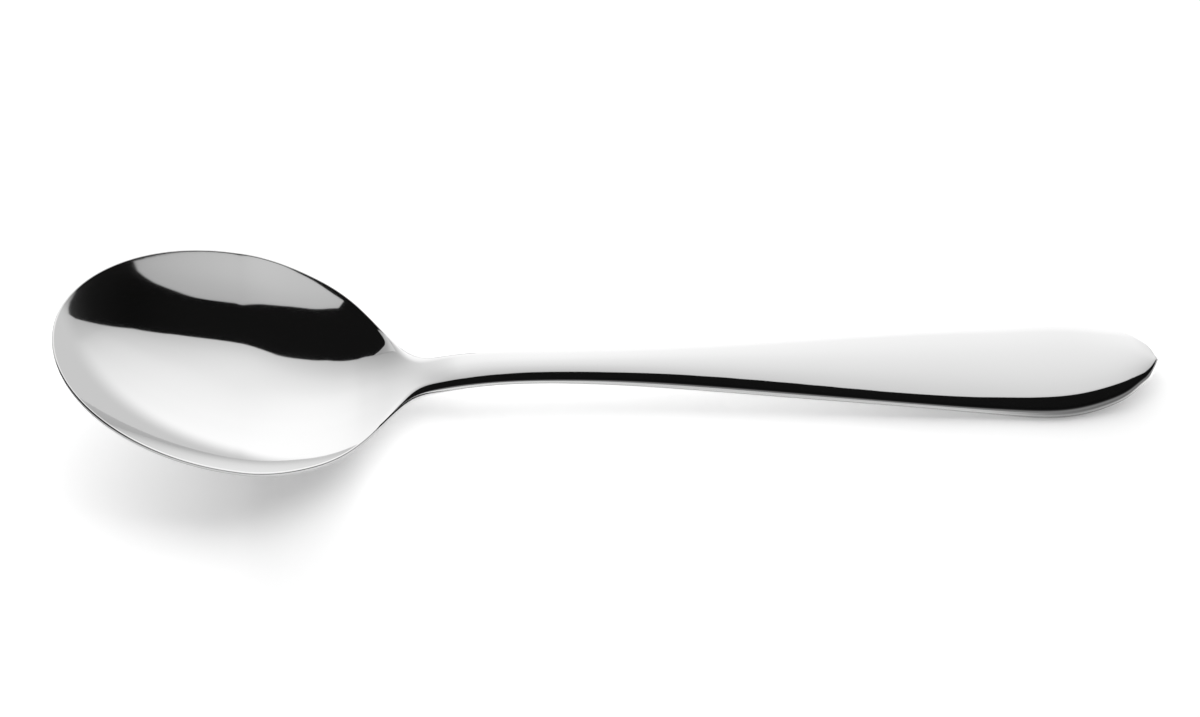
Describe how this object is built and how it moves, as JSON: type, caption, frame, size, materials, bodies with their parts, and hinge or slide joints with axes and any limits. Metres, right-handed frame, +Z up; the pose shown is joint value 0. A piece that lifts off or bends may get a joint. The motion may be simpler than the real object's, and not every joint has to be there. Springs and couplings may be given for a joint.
{
  "type": "dessert spoon",
  "caption": "Mirror-polished steel dessert spoon: an egg-shaped bowl with a raised tip, a slim arched neck and a handle that widens to a leaf-shaped, pointed end.",
  "frame": {"origin": "middle of the bounding box in plan, on the table that the spoon lies on", "axes": "+X from the bowl to the handle's end, +Z up out of the bowl, +Y across the spoon, which is alike on both sides of Y = 0"},
  "size_m": [0.182, 0.042, 0.0199],
  "materials": {
    "polished_steel": "mirror-polished stainless steel, neutral grey"
  },
  "bodies": {
    "root": {"bowl": "polished_steel", "handle": "polished_steel"}
  },
  "joints": []
}
